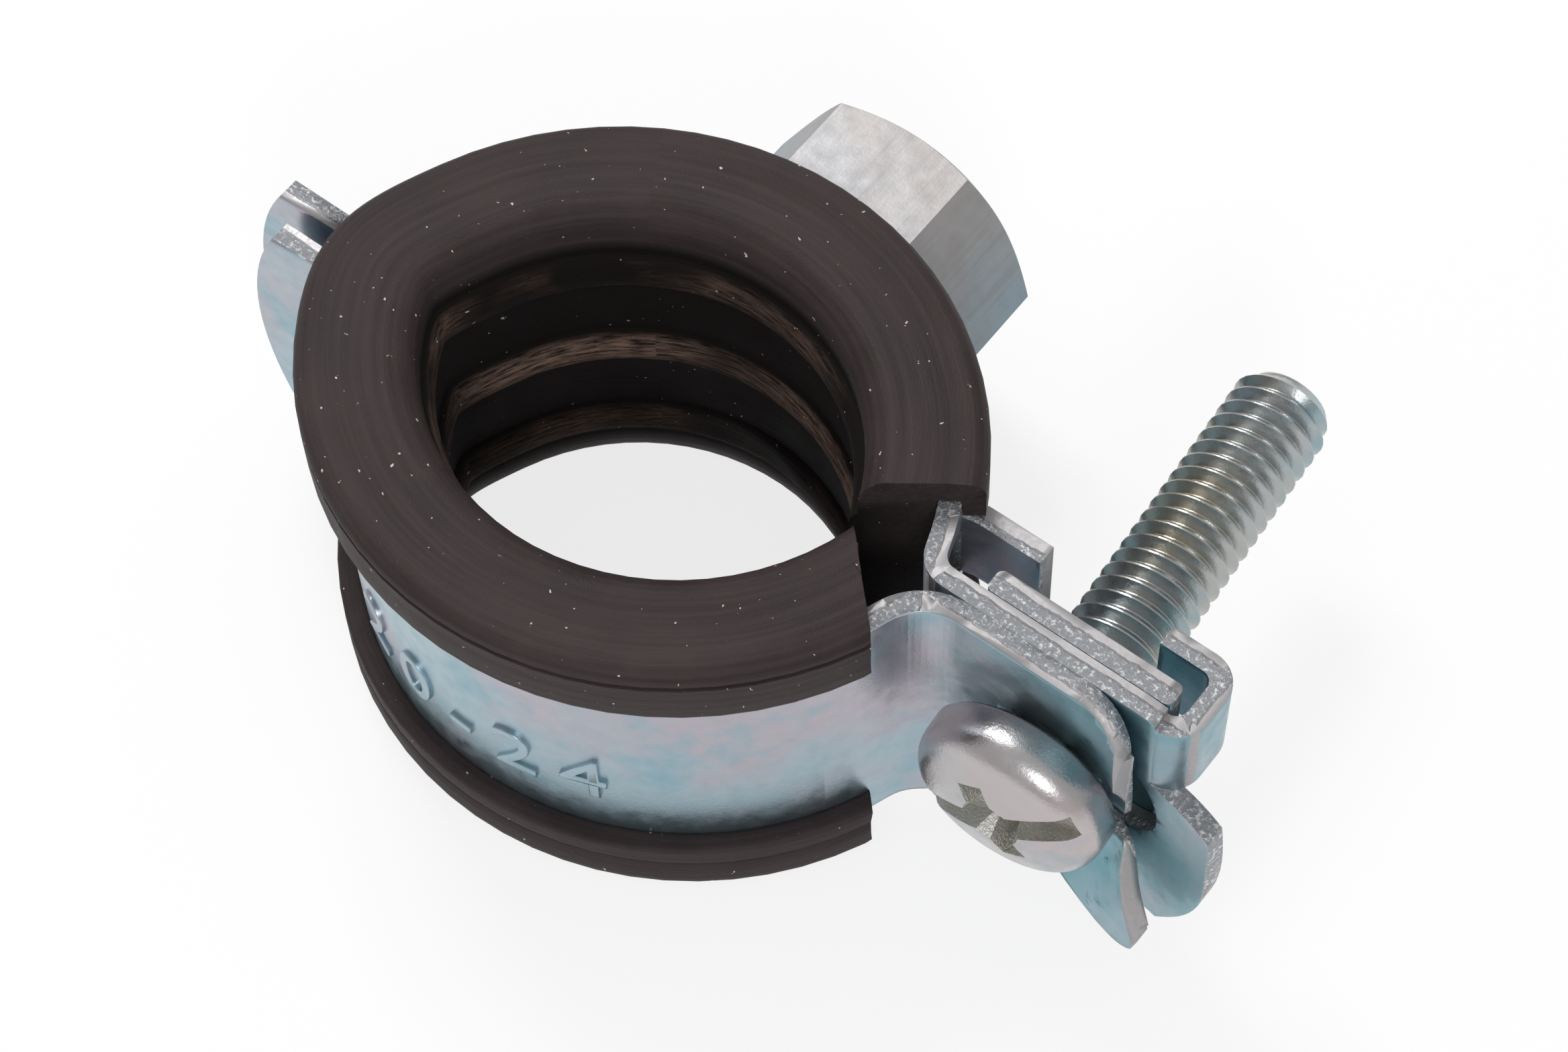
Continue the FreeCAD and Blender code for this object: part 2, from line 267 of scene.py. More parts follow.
def feed(tree: bpy.types.NodeTree, node: bpy.types.Node, values: dict[str | int, object]) -> bpy.types.Node:
    """Set or link a node's inputs.

    Args:
        tree: the tree that holds the node.
        node: the node.
        values: for each input, an output socket or a plain value.

    Returns:
        The same node.
    """
    for key, value in values.items():
        if isinstance(value, Socket):
            tree.links.new(value, node.inputs[key])
        else:
            node.inputs[key].default_value = value
    return node


def compute(tree: bpy.types.NodeTree, kind: Operation, first: Socket, second: Socket | float) -> Socket:
    """Result of a sum, from a new node in the tree."""
    node = tree.nodes.new("ShaderNodeMath")
    node.operation = kind.value
    return feed(tree, node, {0: first, 1: second}).outputs[0]


class Shader:
    """Node material that is built step by step; its methods give output sockets."""

    def __init__(self, name: str) -> None:
        """Start a material of this name that has a surface and no pattern yet."""
        self.material = bpy.data.materials.new(name)
        self.material.use_nodes = True
        self.tree = self.material.node_tree
        self.tree.nodes.clear()
        out = self.tree.nodes.new("ShaderNodeOutputMaterial")
        self.bsdf = self.tree.nodes.new("ShaderNodeBsdfPrincipled")
        self.tree.links.new(self.bsdf.outputs[0], out.inputs[0])
        self.coord = self.tree.nodes.new("ShaderNodeTexCoord").outputs["Object"]

    def node(self, kind: str, values: dict[str | int, object]) -> bpy.types.Node:
        """New node of a kind, with its inputs set or linked."""
        return feed(self.tree, self.tree.nodes.new("ShaderNode" + kind), values)

    def stretch(self, scale: Colour) -> Socket:
        """Object coordinates scaled by axis."""
        return self.node("Mapping", {"Vector": self.coord, "Scale": scale}).outputs[0]

    def noise(self, scale: float, detail: float, rough: float, vector: Socket | None = None) -> Socket:
        """Noise factor.

        Args:
            scale: features per metre, or per unit of the vector.
            detail: number of finer layers.
            rough: weight of the finer layers.
            vector: what it lies on, if not the object coordinates.

        Returns:
            The factor.
        """
        values = {"Vector": self.coord if vector is None else vector, "Scale": scale,
                  "Detail": detail, "Roughness": rough}
        return self.node("TexNoise", values).outputs["Fac"]

    def ramp(self, value: Socket, low: float, high: float,
             out_low: float = 0.0, out_high: float = 1.0) -> Socket:
        """Map the range from low to high onto another range, clamped."""
        values = {"Value": value, "From Min": low, "From Max": high, "To Min": out_low, "To Max": out_high}
        return self.node("MapRange", values).outputs[0]

    def mix(self, factor: Socket, first: Socket | Colour, second: Socket | Colour) -> Socket:
        """Mix two colours, by the share of the second; each is a socket or linear RGB."""
        node = self.tree.nodes.new("ShaderNodeMix")
        node.data_type = "RGBA"
        one, other = ((*value, 1.0) if isinstance(value, tuple) else value for value in (first, second))
        return feed(self.tree, node, {"Factor": factor, 6: one, 7: other}).outputs[2]

    def add(self, first: Socket, second: Socket) -> Socket:
        """Sum of two sockets."""
        return compute(self.tree, Operation.ADD, first, second)

    def times(self, first: Socket, second: Socket | float) -> Socket:
        """Product of a socket and a socket or number."""
        return compute(self.tree, Operation.MULTIPLY, first, second)

    def along(self, axis: Axis) -> Socket:
        """One component of the object coordinates."""
        return self.node("SeparateXYZ", {0: self.coord}).outputs[axis.value]

    def attribute(self, name: str) -> Socket:
        """Factor of a mesh attribute."""
        node = self.tree.nodes.new("ShaderNodeAttribute")
        node.attribute_name = name
        return node.outputs["Fac"]

    def bump(self, height: Socket, strength: float, relief: float) -> Socket:
        """Bumped normal from a height."""
        return self.node("Bump", {"Height": height, "Strength": strength, "Distance": relief}).outputs[0]

    def finish(self, colour: Socket, metallic: float, rough: Socket, normal: Socket) -> Material:
        """Plug the surface together and hand over the material."""
        feed(self.tree, self.bsdf, {"Base Color": colour, "Metallic": metallic, "Roughness": rough,
                                    "Normal": normal})
        return self.material


def zinc(name: str, look: Finish, tint: PaintedReflection | None = None, brushed: bool = False) -> Material:
    """Zinc plated surface with soft clouds of colour and a fine grain.

    Args:
        name: name of the material.
        look: its numbers.
        tint: painted reflection that turns the plating bluer along one axis.
        brushed: whether fine drawing lines run along Y.

    Returns:
        The material.
    """
    shader = Shader(name)
    clouds = shader.ramp(shader.noise(95.0, 3.0, 0.55), 0.42, 0.62)
    patches = shader.ramp(shader.noise(210.0, 4.0, 0.6), 0.52, 0.68, 0.0, 0.8)
    colour = shader.mix(clouds, look.base, look.second)
    colour = shader.mix(patches, colour, look.third)
    # painted reflection: the plating turns bluer along the tint's axis
    if tint:
        reach = shader.ramp(shader.along(tint.axis), tint.start, tint.full, 0.0, tint.weight)
        cloud = shader.ramp(shader.noise(150.0, 3.0, 0.55), 0.34, 0.62, 0.35, 1.0)
        colour = shader.mix(shader.times(reach, cloud), colour, tint.colour)
    rough = shader.ramp(shader.noise(900.0, 5.0, 0.6), *NOISE_SPREAD, *look.rough)
    height = shader.noise(5200.0, 3.0, 0.6)
    if brushed:
        lines = shader.noise(1.0, 4.0, 0.65, shader.stretch(BRUSH_SCALE))
        colour = shader.mix(shader.ramp(lines, 0.50, 0.72, 0.0, 0.35), colour, BRUSH_COLOUR)
        height = shader.add(height, shader.times(lines, 1.5))
    return shader.finish(colour, look.metallic, rough, shader.bump(height, look.bump, ZINC_RELIEF))


def sheared(name: str, look: Finish) -> Material:
    """Cut edge of the sheet: a smooth strip beside a torn one that has painted glints.

    Args:
        name: name of the material.
        look: its numbers.

    Returns:
        The material.
    """
    shader = Shader(name)
    wobble = shader.ramp(shader.noise(900.0, 3.0, 0.6), *NOISE_SPREAD, -0.06, 0.06)
    torn = shader.ramp(shader.add(shader.attribute("across"), wobble), 0.32, 0.44)
    grit_and_glints = shader.noise(3400.0, 4.0, 0.75)
    # painted glints: bright specks on the torn strip
    rough_side = shader.mix(shader.ramp(grit_and_glints, 0.52, 0.64), look.third, PAINTED_GLINT_COLOUR)
    colour = shader.mix(torn, look.second, rough_side)
    rough = shader.ramp(grit_and_glints, *NOISE_SPREAD, *look.rough)
    normal = shader.bump(shader.times(grit_and_glints, torn), look.bump, TORN_RELIEF)
    return shader.finish(colour, look.metallic, rough, normal)


def streaked(shader: Shader, along: float, across: float) -> Socket:
    """Vector that draws noise out along the rubber strip.

    Args:
        shader: the rubber's shader.
        along: scale along the strip, per metre.
        across: scale across the strip.

    Returns:
        The vector.
    """
    parts = (shader.times(shader.attribute("streak"), along),
             shader.times(shader.along(Axis.Z), across),
             shader.times(shader.attribute("depth"), across))
    return shader.node("CombineXYZ", dict(enumerate(parts))).outputs[0]


def rubber(name: str, look: Finish) -> Material:
    """Dark moulded rubber with streaks along the ring, wear, specks of dust and painted shade in the bore.

    Args:
        name: name of the material.
        look: its numbers.

    Returns:
        The material.
    """
    shader = Shader(name)
    lines = shader.noise(1.0, 5.0, 0.6, streaked(shader, 60.0, 2600.0))
    cloud = shader.noise(160.0, 4.0, 0.6)
    tone = shader.ramp(shader.add(lines, cloud), 0.75, 1.3)
    colour = shader.mix(tone, look.base, look.second)
    # painted shade: the rubber in the bore turns near black
    inside = shader.attribute("inside")
    colour = shader.mix(inside, colour, BORE_PAINTED_SHADE)
    patch = shader.ramp(shader.noise(110.0, 2.0, 0.5), 0.36, 0.54)
    scuff = shader.ramp(shader.noise(1.0, 5.0, 0.7, streaked(shader, 420.0, 5200.0)), 0.38, 0.60)
    worn = shader.times(shader.attribute("wear"), shader.times(scuff, patch))
    colour = shader.mix(worn, colour, look.third)
    dust = shader.ramp(shader.noise(2600.0, 2.0, 0.5), 0.735, 0.76)
    colour = shader.mix(dust, colour, DUST_COLOUR)
    rough = shader.ramp(cloud, *NOISE_SPREAD, *look.rough)
    rough = shader.add(rough, shader.times(inside, INSIDE_ROUGHER))
    height = shader.add(shader.noise(7000.0, 3.0, 0.6), shader.times(lines, 1.6))
    shader.bsdf.inputs["Specular IOR Level"].default_value = RUBBER_SPECULAR
    return shader.finish(colour, look.metallic, rough, shader.bump(height, look.bump, RUBBER_RELIEF))


def new_object(name: str, mesh: bpy.types.Mesh, looks: Sequence[Material] = ()) -> bpy.types.Object:
    """Link a mesh as an object at the origin.

    Args:
        name: name of the object.
        mesh: its mesh.
        looks: its materials.

    Returns:
        The object.
    """
    obj = bpy.data.objects.new(name, mesh)
    bpy.context.scene.collection.objects.link(obj)
    for look in looks:
        mesh.materials.append(look)
    return obj


def mesh_of(name: str, bm: BMesh) -> bpy.types.Mesh:
    """Turn a finished bmesh into a mesh of this name and free it."""
    mesh = bpy.data.meshes.new(name)
    bm.to_mesh(mesh)
    bm.free()
    return mesh


def in_metres(bm: BMesh) -> None:
    """Scale a bmesh that was drawn in millimetres."""
    bmesh.ops.scale(bm, verts=bm.verts, vec=(MM, MM, MM))


def merged_copy(frame: dict, node: str) -> BMesh:
    """Copy a CAD node's loose triangles.

    Args:
        frame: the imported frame.
        node: name of the node.

    Returns:
        A joined bmesh in millimetres.
    """
    bm = bmesh.new()
    bm.from_mesh(frame["nodes"][node].data)
    bmesh.ops.scale(bm, verts=bm.verts, vec=(1 / MM, 1 / MM, 1 / MM))
    bmesh.ops.remove_doubles(bm, verts=bm.verts, dist=CAD_GAP)
    return bm


def place(obj: bpy.types.Object, body: Body, slot: str, *nodes: str) -> None:
    """Let a piece ride on its body and hide the nodes it stands for.

    Args:
        obj: the piece.
        body: what it rides on.
        slot: its material slot; not used.
        nodes: the nodes of the frame that it replaces.
    """
    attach(obj, body.value)
    for node in nodes:
        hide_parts(node)
    LOG.info("%s rides on %s", obj.name, body.value)


def clean(bm: BMesh, size: float) -> None:
    """Join close points, take out faces that have no area, and close what that opens.

    Args:
        bm: the shape.
        size: distance below which points count as one, in the shape's own unit.
    """
    bmesh.ops.remove_doubles(bm, verts=bm.verts, dist=size)
    bmesh.ops.dissolve_degenerate(bm, edges=bm.edges, dist=size)
    loose = [edge for edge in bm.edges if not edge.link_faces]
    bmesh.ops.delete(bm, geom=loose, context="EDGES")
    bmesh.ops.holes_fill(bm, edges=[edge for edge in bm.edges if edge.is_boundary])


def smooth(obj: bpy.types.Object, angle: float) -> None:
    """Shade smooth and keep edges sharper than an angle in degrees."""
    for polygon in obj.data.polygons:
        polygon.use_smooth = True
    obj.data.set_sharp_from_angle(angle=math.radians(angle))


def soften(obj: bpy.types.Object, width: float, angle: float) -> None:
    """Round the sharp edges of a piece.

    Args:
        obj: the piece.
        width: width of the rounding, in millimetres.
        angle: least angle of a sharp edge, in degrees.
    """
    for polygon in obj.data.polygons:
        polygon.use_smooth = True
    bevel = obj.modifiers.new("rounded edges", "BEVEL")
    bevel.width = width * MM
    bevel.segments = 2
    bevel.limit_method = "ANGLE"
    bevel.angle_limit = math.radians(angle)
    bevel.use_clamp_overlap = True
    bpy.context.view_layer.update()
    graph = bpy.context.evaluated_depsgraph_get()
    rounded = bpy.data.meshes.new_from_object(obj.evaluated_get(graph))
    obj.modifiers.remove(bevel)
    bm = bmesh.new()
    bm.from_mesh(rounded)
    clean(bm, SLIVER * MM)
    bm.to_mesh(obj.data)
    bm.free()
    bpy.data.meshes.remove(rounded)
    weighted = obj.modifiers.new("flat faces", "WEIGHTED_NORMAL")
    weighted.keep_sharp = False


def dressed(name: str, bm: BMesh, looks: Sequence[Material], sharp: float,
            width: float = 0.0) -> bpy.types.Object:
    """Make a shape a piece in metres, with its materials and shading.

    Args:
        name: name of the piece.
        bm: its shape in millimetres, which is used up.
        looks: its materials.
        sharp: least angle of a sharp edge, in degrees.
        width: width of the rounding of sharp edges, in millimetres, if they have one.

    Returns:
        The object.
    """
    in_metres(bm)
    obj = new_object(name, mesh_of(name, bm), looks)
    if width:
        soften(obj, width, sharp)
    else:
        smooth(obj, sharp)
    return obj


def sweep(rings: Sequence[Sequence[Vector]],
          layers: Sequence[str]) -> tuple[BMesh, list[list[bmesh.types.BMVert]]]:
    """Extrude a closed outline from ring to ring.

    Args:
        rings: the outline's points at each station, all in the same order.
        layers: names of the number layers that the vertices get.

    Returns:
        The bmesh and its rows of vertices.
    """
    bm = bmesh.new()
    for name in layers:
        bm.verts.layers.float.new(name)
    row = [bm.verts.new(point) for point in rings[0]]
    rows = [row]
    edges = [bm.edges.new((vert, row[index - 1])) for index, vert in enumerate(row)]
    for ring in rings[1:]:
        made = bmesh.ops.extrude_edge_only(bm, edges=edges)["geom"]
        fresh = {item for item in made if isinstance(item, bmesh.types.BMVert)}
        row = [next(edge.other_vert(vert) for edge in vert.link_edges if edge.other_vert(vert) in fresh)
               for vert in row]
        for vert, point in zip(row, ring):
            vert.co = point
        rows.append(row)
        edges = [bm.edges.get((vert, row[index - 1])) for index, vert in enumerate(row)]
    return bm, rows


def revolve(profile: Spots, steps: int, turns: float = 1.0, pitch: float = 0.0,
            closed: bool = False) -> BMesh:
    """Turn an outline about Y, in millimetres.

    Args:
        profile: pairs of radius and height.
        steps: steps in one turn.
        turns: number of turns.
        pitch: climb in one turn; without any, the last step is joined to the first.
        closed: whether the outline's last point is joined to its first.

    Returns:
        The shape.
    """
    bm = bmesh.new()
    verts = [bm.verts.new((radius, height, 0.0)) for radius, height in profile]
    pairs = zip(verts, verts[1:])
    if closed:
        pairs = ((vert, verts[index - 1]) for index, vert in enumerate(verts))
    bmesh.ops.spin(bm, geom=verts + [bm.edges.new(pair) for pair in pairs], cent=(0, 0, 0), axis=(0, 1, 0),
                   dvec=(0, pitch / steps, 0), angle=math.tau * turns, steps=round(steps * turns),
                   use_merge=not pitch, use_duplicate=False)
    return bm


def carve(bm: BMesh, tool: BMesh, looks: Sequence[Material]) -> BMesh:
    """Cut a tool out of a shape; both are closed and in millimetres.

    Args:
        bm: the shape.
        tool: what is taken away.
        looks: the shape's material and the material of the cut faces.

    Returns:
        The cut shape.
    """
    bmesh.ops.recalc_face_normals(tool, faces=tool.faces)
    for face in tool.faces:
        face.material_index = 1
    body = new_object("carved", mesh_of("carved", bm), looks)
    cutter = new_object("cutter", mesh_of("cutter", tool), looks)
    cut = body.modifiers.new("cut", "BOOLEAN")
    cut.operation = "DIFFERENCE"
    cut.solver = "EXACT"
    cut.use_self = True
    cut.object = cutter
    bpy.context.view_layer.update()
    graph = bpy.context.evaluated_depsgraph_get()
    result = bmesh.new()
    result.from_mesh(body.evaluated_get(graph).to_mesh())
    for piece in (body, cutter):
        bpy.data.objects.remove(piece)
    clean(result, CUT_GAP)
    return result


def settle(bm: BMesh) -> None:
    """Split quads along their shorter diagonal and turn the faces outwards.

    Extrude and spin start a face at any of its corners, so the split may not depend on that.
    """
    bmesh.ops.triangulate(bm, faces=bm.faces, quad_method="SHORT_EDGE", ngon_method="BEAUTY")
    bmesh.ops.recalc_face_normals(bm, faces=bm.faces)


def close_ends(bm: BMesh) -> None:
    """Cap the open ends of a swept piece and turn its faces outwards."""
    rims = [edge for edge in bm.edges if edge.is_boundary]
    caps = bmesh.ops.holes_fill(bm, edges=rims)["faces"]
    bmesh.ops.triangulate(bm, faces=caps, ngon_method="BEAUTY")
    settle(bm)


@dataclass
class Liner:
    """Rubber strip with a C-shaped section, three ribs inside and lips outside the band.

    Distances are measured outwards from the middle of the sheet, heights from the band's middle.
    """

    inner: float = -4.6
    lip: float = 1.85
    sheet_play: float = 0.03
    half_width: float = 12.0
    rim_round: float = 0.9
    inner_round: float = 1.9
    edge_round: float = 0.3
    lip_edge: float = 7.75
    hinge_edge: float = 10.1
    leaf_middle: float = -2.2
    leaf_zone: Zone = Zone(-4.3, 0.6)
    rib_stand: float = 0.6
    rib_half: float = 1.5
    rib_steps: int = 8
    rib_heights: Numbers = (0.0, 7.3)
    rib_wear: Numbers = (1.0, 0.45)
    worn_from: float = 0.15
    flats: Numbers = (3.0, 5.6, 9.2)
    slot_heights: Numbers = (10.34, 5.0)
    seam_line: float = 11.05
    seam_depth: float = 0.5
    seam_widths: Numbers = (0.10, 0.20, 0.36)
    bead_share: float = 0.36
    bead_depth: float = 0.26
    bead_zone: Zone = Zone(-9.0, 1.0)
    # Painted shade in the bore: its weight, how far out from the inner face it reaches and its height either
    # side of the middle.
    shade: float = 0.95
    shade_margin: float = 0.2
    shade_height: float = 10.0
    nose_pull: float = 14.0
    nose_steps: int = 18
    back_from: float = 17.0
    back_to: float = 156.1
    front_from: float = -148.0
    front_to: float = -4.0
    back_cut: tuple[Vector, Vector] = (Vector((11.5, 1.14, 0.0)), Vector((20.0, 6.99, 0.0)))
    front_cut: tuple[Vector, Vector] = (Vector((12.0, 2.32, 0.0)), Vector((20.0, -5.78, 0.0)))
    step: float = 1.6
    seam: int = 7
    runs: Numbers = (0.0, 42.0, 80.0)
    ragged: float = 0.22
    ragged_scale: float = 0.8
    sharp: float = 50.0

    def arc(self, low: float, high: float, count: int, middle: tuple[float, float], size: float) -> Spots:
        """Points of a rounded corner, between two angles in degrees round its middle."""
        spots = []
        for index in range(count + 1):
            turn = math.radians(low + (high - low) * index / count)
            spots.append((middle[0] + size * math.cos(turn), middle[1] + size * math.sin(turn)))
        return spots

    def rib(self, height: float) -> Spots:
        """Rounded crest of the rib at a height, from its lower foot to its upper one."""
        spots = []
        for index in range(self.rib_steps + 1):
            turn = math.pi * index / self.rib_steps
            spots.append((self.inner - self.rib_stand * math.sin(turn) ** 1.5,
                          height - self.rib_half * math.cos(turn)))
        return spots

    def half_section(self, edge: float, upper: bool) -> Spots:
        """One half of the section, from the middle rib round to the band's inner face.

        Args:
            edge: height of the free edge of the outer lip.
            upper: the upper lip has a line below its corner, the lower one along its edge.

        Returns:
            Pairs of distance and height.
        """
        top = self.half_width
        sheet = SHEET / 2 + self.sheet_play
        flats = [(self.inner, height) for height in self.flats]
        spots = self.rib(self.rib_heights[0])[self.rib_steps // 2:] + flats[:2]
        spots += self.rib(self.rib_heights[1]) + flats[2:]
        size = self.inner_round
        spots += self.arc(180, 90, 6, (self.inner + size, top - size), size)
        spots += [(-1.3, top), (0.0, top)]
        size = self.rim_round
        spots += self.arc(90, 0, 5, (self.lip - size, top - size), size)
        depth = self.seam_depth if upper else 0.0
        start, floor, end = (self.seam_line - width for width in self.seam_widths)
        spots += [(self.lip - depth, start), (self.lip - depth, floor), (self.lip, end)]
        low = edge + self.edge_round
        room = end - low
        line = low + self.bead_share * room
        depth = 0.0 if upper else self.bead_depth * self.bead_zone.share(-edge)
        spots += [(self.lip, line + 0.095 * room), (self.lip - depth, line), (self.lip, line - 0.01 * room)]
        spots += self.arc(0, -90, 3, (self.lip - self.edge_round, low), self.edge_round)
        spots += [(sheet + 0.25, edge), (sheet, edge + 0.15)]
        high, deep = self.slot_heights
        spots += [(sheet, high), (-sheet, high), (-sheet, deep)]
        return spots

    def section(self, edge: float) -> Spots:
        """The whole closed section, for lips that end at a height."""
        lower = [(d, -z) for d, z in reversed(self.half_section(edge, False)[1:])]
        return self.half_section(edge, True) + lower

    def nose(self, share: float) -> Station:
        """Station on the bend at the hinge.

        Args:
            share: place on the bend, from 0 at the back to 1 at the front.

        Returns:
            The point and the outward direction.
        """
        start, start_out = BACK_RING.at(self.back_to)
        end, end_out = FRONT_RING.at(self.front_from)
        pull = [Vector((-out.y, out.x, 0.0)) * self.nose_pull for out in (start_out, end_out)]
        s, s2, s3 = share, share ** 2, share ** 3
        point = (start * (2 * s3 - 3 * s2 + 1) + pull[0] * (s3 - 2 * s2 + s)
                 + end * (3 * s2 - 2 * s3) + pull[1] * (s3 - s2))
        along = (start * (6 * s2 - 6 * s) + pull[0] * (3 * s2 - 4 * s + 1)
                 + end * (6 * s - 6 * s2) + pull[1] * (3 * s2 - 2 * s)).normalized()
        return point, Vector((along.y, -along.x, 0.0))

    def edge_at(self, point: Vector) -> float:
        """Height of the lip's lower edge at a point; it rises where the leaves pass through."""
        near = 0.0 if point.x > 0 else self.leaf_zone.share(-abs(point.y - self.leaf_middle))
        return self.lip_edge + (self.hinge_edge - self.lip_edge) * near

    def wear_at(self, d: float, z: float) -> float:
        """How worn the rubber is at a distance and height, from 0 to 1."""
        if d > self.inner - self.worn_from:
            return 0.0
        level = self.rib_wear[0] if abs(z) < self.flats[0] else self.rib_wear[1]
        return min(1.0, (self.inner - d) / self.rib_stand) * level

    def ring_at(self, station: Station, spots: Spots) -> list[Vector]:
        """Points of a section at a station, pressed clear of the pipe."""
        point, out = station
        ring = []
        for d, z in spots:
            spot = point + out * d + Vector((0.0, 0.0, z))
            reach = math.hypot(spot.x, spot.y)
            if reach < PIPE_GRIP_R:
                spot.x *= PIPE_GRIP_R / reach
                spot.y *= PIPE_GRIP_R / reach
            ring.append(spot)
        return ring

    def strip(self, stations: list[Station], start: float) -> BMesh:
        """Sweep the section along stations and note streaks, depth, wear and the bore's painted shade.

        Args:
            stations: points and outward directions along the band's middle.
            start: length of the strip before the first station, in millimetres.

        Returns:
            An open strip in millimetres.
        """
        sections = [self.section(self.edge_at(point)) for point, _ in stations]
        rings = [self.ring_at(station, spots) for station, spots in zip(stations, sections)]
        names = ("streak", "depth", "wear", "inside")
        bm, rows = sweep(rings, names)
        streak, depth, wear, inside = (bm.verts.layers.float[name] for name in names)
        run = start
        for index, row in enumerate(rows):
            if index:
                run += (stations[index][0] - stations[index - 1][0]).length
            for vert, (d, z) in zip(row, sections[index]):
                # the bore gets painted shade
                within = d < self.inner + self.shade_margin and abs(z) < self.shade_height
                vert[streak] = run * MM
                vert[depth] = d * MM
                vert[wear] = self.wear_at(d, z)
                vert[inside] = self.shade if within else 0.0
        return bm

    def cut_end(self, bm: BMesh, line: tuple[Vector, Vector], keep_left: bool) -> None:
        """Cut the strip off along a line on the XY plane.

        Args:
            bm: the strip.
            line: two points of the line.
            keep_left: which side of it stays.
        """
        along = (line[1] - line[0]).normalized()
        normal = Vector((along.y, -along.x, 0.0))
        if not keep_left:
            normal = -normal
        geometry = bm.verts[:] + bm.edges[:] + bm.faces[:]
        cut = bmesh.ops.bisect_plane(bm, geom=geometry, plane_co=line[0], plane_no=normal, clear_outer=True)
        for item in cut["geom_cut"]:
            if isinstance(item, bmesh.types.BMVert):
                item.co -= normal * self.ragged * (0.5 + 0.5 * noise.noise(item.co * self.ragged_scale))

    def piece(self, name: str, bm: BMesh, material: Material) -> bpy.types.Object:
        """Close a strip and make it an object."""
        close_ends(bm)
        return dressed(name, bm, [material], self.sharp)

    def build(self, material: Material) -> None:
        """Make the strip in three pieces: along the back, round the hinge, along the front.

        Args:
            material: the rubber.
        """
        seam = self.seam
        arc_step = math.degrees(self.step / BACK_RING.mid_r)
        back = BACK_RING.stations(self.back_from, self.back_to, arc_step)
        bend = [self.nose(index / self.nose_steps) for index in range(self.nose_steps + 1)]
        front = FRONT_RING.stations(self.front_from, self.front_to, arc_step)
        before = self.strip(back[:-seam], self.runs[0])
        self.cut_end(before, self.back_cut, True)
        bend_strip = self.strip(back[-seam - 1:-1] + bend + front[1:seam + 1], self.runs[1])
        after = self.strip(front[seam:], self.runs[2])
        self.cut_end(after, self.front_cut, False)
        place(self.piece("liner_back", before, material), Body.BACK, "rubber", "liner")
        place(self.piece("liner_front", after, material), Body.FRONT, "rubber")
        web = self.piece("liner_hinge", bend_strip, material)
        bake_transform(web, Body.BACK.value, Body.FRONT.value,
                 start=(-0.0186, 0.0030, 0.0), end=(-0.0186, -0.0060, 0.0))


# Places of a sheet piece: its ear, ring, hinge leaf, and the guides cut from the back half
EAR_FROM_X = 18.0
RING_SPAN_X = (-20.0, 20.5)
LEAF_TO_X = -15.0
GUIDES_FROM = (14.0, 2.2)
GUIDE_Y = 5.5
HOOK_X = 33.5
TAB_SPAN_X = (16.5, 22.1)
TAB_SPAN_Z = (3.0, 9.5)
TAB_FROM_Y = 3.8

# Pressed and bent part of the ear, with its grid and the zones where each change grows
PRESSED_FROM_X = 17.0
PRESSED_ABOVE = 0.75
GRID_STEP = 0.75
GRID_X = (17.2, 24)
GRID_Z = (-9.75, 27)
TAB_ZONE = Zone(16.5, 1.5)
PRONG_DOWN = Zone(1.5, 6.0)
PRONG_OUT = Zone(23.0, 5.4)
HEAD_SIDE_IN = Zone(19.0, 4.0)
HEAD_SIDE_OUT = Zone(-30.4, 4.4)
LOWER_EDGE = Zone(4.0, 6.0)
CLEAR_OF_HEAD = Zone(6.2, 2.6)

FLAT_ANGLE = 0.5
EDGE_COSINE = 0.55
SHEET_ROUND = 0.11
SHEET_SHARP = 38.0


